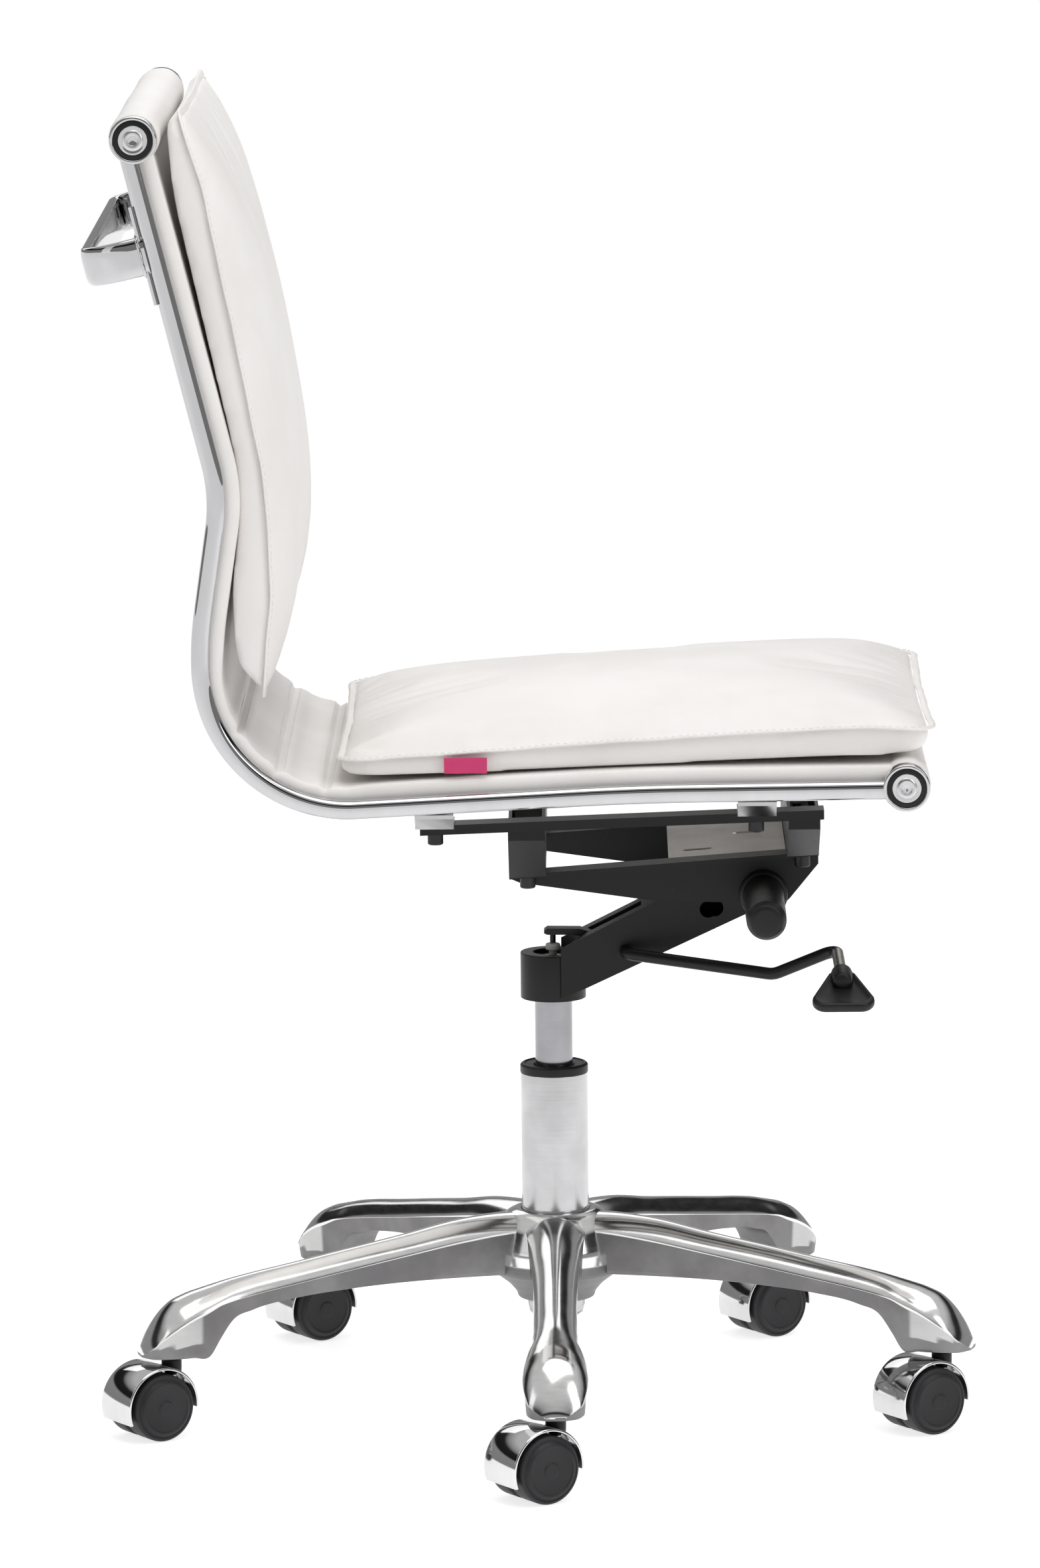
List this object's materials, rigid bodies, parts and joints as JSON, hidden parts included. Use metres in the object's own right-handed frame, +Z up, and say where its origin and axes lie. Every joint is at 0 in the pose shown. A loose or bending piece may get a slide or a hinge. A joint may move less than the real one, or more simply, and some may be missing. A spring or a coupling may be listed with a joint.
{
  "type": "swivel office chair",
  "caption": "Armless swivel office chair: padded white sling on bright rails, knee-tilt mechanism, gas lift and polished star base on twin-wheel casters.",
  "frame": {"origin": "on the floor, on the axis of the gas lift", "axes": "+X to the front of the seat, +Y to the sitter's left, +Z up"},
  "size_m": [0.6481, 0.6118, 0.9883],
  "materials": {
    "polished_aluminium": "polished tops, satin cast sides",
    "chrome": "mirror-polished chrome plate",
    "hood_chrome": "chrome-plated fender",
    "satin_chrome": "ground and chromed steel tube",
    "bright_steel": "bright steel",
    "bare_steel": "bare rolled steel",
    "black_paint": "satin black powder coat",
    "black_bolts": "black oxide bolts",
    "black_plastic": "fine-textured black moulding",
    "wheel_plastic": "charcoal nylon",
    "grey_plastic": "grey moulding",
    "nylon": "natural nylon",
    "clear_plastic": "clear moulding",
    "white_leather": "fine-grained warm white leatherette, a coated fabric over foam",
    "tag_fabric": "plain woven tag, no print"
  },
  "bodies": {
    "base": {"base_star": "polished_aluminium", "caster_sockets": "bright_steel", "column_tube": "satin_chrome", "column_collar": "black_plastic", "guide_bush": "nylon", "thrust_bearing": "bright_steel", "bottom_cap": "clear_plastic"},
    "rod": {"piston_rod": "bright_steel", "rod_clip": "bright_steel"},
    "lift": {"gas_cylinder": "satin_chrome", "hub_sleeve": "black_paint", "tilt_arm": "black_paint", "pivot_pin": "bright_steel", "tilt_spring": "bright_steel"},
    "button": {"valve_button": "grey_plastic"},
    "lever": {"lever_rod": "black_paint", "release_finger": "black_paint", "lever_paddle": "black_plastic"},
    "knob": {"tension_knob": "black_plastic"},
    "seat": {"seat_bracket": "black_paint", "bracket_plate": "bare_steel", "rear_member": "black_paint", "front_member": "black_paint", "left_mount_rail": "black_paint", "right_mount_rail": "black_paint", "frame_bolts": "black_bolts", "member_bolts": "black_bolts", "left_side_rail": "chrome", "right_side_rail": "chrome", "frame_tabs": "chrome", "top_bar": "bare_steel", "front_bar": "bare_steel", "bar_caps": "chrome", "cap_screws": "bright_steel", "sling": "white_leather", "seat_pad": "white_leather", "back_pad": "white_leather", "seat_tag": "tag_fabric", "back_handle": "chrome"},
    "caster_1": {"caster_1_hood": "hood_chrome", "caster_1_pins": "bright_steel"},
    "wheel_1a": {"caster_1_wheel_a": "wheel_plastic"},
    "wheel_1b": {"caster_1_wheel_b": "wheel_plastic"},
    "caster_2": {"caster_2_hood": "hood_chrome", "caster_2_pins": "bright_steel"},
    "wheel_2a": {"caster_2_wheel_a": "wheel_plastic"},
    "wheel_2b": {"caster_2_wheel_b": "wheel_plastic"},
    "caster_3": {"caster_3_hood": "hood_chrome", "caster_3_pins": "bright_steel"},
    "wheel_3a": {"caster_3_wheel_a": "wheel_plastic"},
    "wheel_3b": {"caster_3_wheel_b": "wheel_plastic"},
    "caster_4": {"caster_4_hood": "hood_chrome", "caster_4_pins": "bright_steel"},
    "wheel_4a": {"caster_4_wheel_a": "wheel_plastic"},
    "wheel_4b": {"caster_4_wheel_b": "wheel_plastic"},
    "caster_5": {"caster_5_hood": "hood_chrome", "caster_5_pins": "bright_steel"},
    "wheel_5a": {"caster_5_wheel_a": "wheel_plastic"},
    "wheel_5b": {"caster_5_wheel_b": "wheel_plastic"}
  },
  "joints": [
    {"name": "seat_swivel", "type": "hinge", "parent": "base", "child": "rod", "pos_m": [0, 0, 0.094], "axis": [0, 0, 1], "continuous": true},
    {"name": "seat_height", "type": "slide", "parent": "rod", "child": "lift", "axis": [0, 0, 1], "range_m": [-0.042, 0.038]},
    {"name": "button_press", "type": "slide", "parent": "lift", "child": "button", "axis": [0, 0, -1], "range_m": [0, 0.0041], "stiffness_N_per_m": 1500, "springref_m": -0.002},
    {"name": "lever_pull", "type": "hinge", "parent": "lift", "child": "lever", "pos_m": [0.054, 0, 0.3475], "axis": [0, -1, 0], "range_deg": [0, 4.2], "stiffness_Nm_per_rad": 10, "springref_deg": -5.73},
    {"name": "tension_turn", "type": "hinge", "parent": "lift", "child": "knob", "pos_m": [0.1555, -0.1, 0.399], "axis": [0, 1, 0], "continuous": true},
    {"name": "seat_tilt", "type": "hinge", "parent": "lift", "child": "seat", "pos_m": [0.1555, 0, 0.399], "axis": [0, -1, 0], "range_deg": [0, 12], "stiffness_Nm_per_rad": 160, "springref_deg": -20.05},
    {"name": "caster_1_swivel", "type": "hinge", "parent": "base", "child": "caster_1", "pos_m": [0, -0.2995, 0.06], "axis": [0, 0, 1], "continuous": true},
    {"name": "caster_1_roll_a", "type": "hinge", "parent": "caster_1", "child": "wheel_1a", "pos_m": [-0.01575, -0.31012, 0.025], "axis": [0.5592, -0.829, 0], "continuous": true},
    {"name": "caster_1_roll_b", "type": "hinge", "parent": "caster_1", "child": "wheel_1b", "pos_m": [-0.01575, -0.31012, 0.025], "axis": [0.5592, -0.829, 0], "continuous": true},
    {"name": "caster_2_swivel", "type": "hinge", "parent": "base", "child": "caster_2", "pos_m": [0.28484, -0.09255, 0.06], "axis": [0, 0, 1], "continuous": true},
    {"name": "caster_2_roll_a", "type": "hinge", "parent": "caster_2", "child": "wheel_2a", "pos_m": [0.26909, -0.10318, 0.025], "axis": [0.5592, -0.829, 0], "continuous": true},
    {"name": "caster_2_roll_b", "type": "hinge", "parent": "caster_2", "child": "wheel_2b", "pos_m": [0.26909, -0.10318, 0.025], "axis": [0.5592, -0.829, 0], "continuous": true},
    {"name": "caster_3_swivel", "type": "hinge", "parent": "base", "child": "caster_3", "pos_m": [0.17604, 0.2423, 0.06], "axis": [0, 0, 1], "continuous": true},
    {"name": "caster_3_roll_a", "type": "hinge", "parent": "caster_3", "child": "wheel_3a", "pos_m": [0.16029, 0.23168, 0.025], "axis": [0.5592, -0.829, 0], "continuous": true},
    {"name": "caster_3_roll_b", "type": "hinge", "parent": "caster_3", "child": "wheel_3b", "pos_m": [0.16029, 0.23168, 0.025], "axis": [0.5592, -0.829, 0], "continuous": true},
    {"name": "caster_4_swivel", "type": "hinge", "parent": "base", "child": "caster_4", "pos_m": [-0.17604, 0.2423, 0.06], "axis": [0, 0, 1], "continuous": true},
    {"name": "caster_4_roll_a", "type": "hinge", "parent": "caster_4", "child": "wheel_4a", "pos_m": [-0.19179, 0.23168, 0.025], "axis": [0.5592, -0.829, 0], "continuous": true},
    {"name": "caster_4_roll_b", "type": "hinge", "parent": "caster_4", "child": "wheel_4b", "pos_m": [-0.19179, 0.23168, 0.025], "axis": [0.5592, -0.829, 0], "continuous": true},
    {"name": "caster_5_swivel", "type": "hinge", "parent": "base", "child": "caster_5", "pos_m": [-0.28484, -0.09255, 0.06], "axis": [0, 0, 1], "continuous": true},
    {"name": "caster_5_roll_a", "type": "hinge", "parent": "caster_5", "child": "wheel_5a", "pos_m": [-0.30059, -0.10318, 0.025], "axis": [0.5592, -0.829, 0], "continuous": true},
    {"name": "caster_5_roll_b", "type": "hinge", "parent": "caster_5", "child": "wheel_5b", "pos_m": [-0.30059, -0.10318, 0.025], "axis": [0.5592, -0.829, 0], "continuous": true}
  ],
  "couplings": [
    {"joint": "button_press", "follows": "lever_pull", "m_per_rad": 0.055}
  ]
}
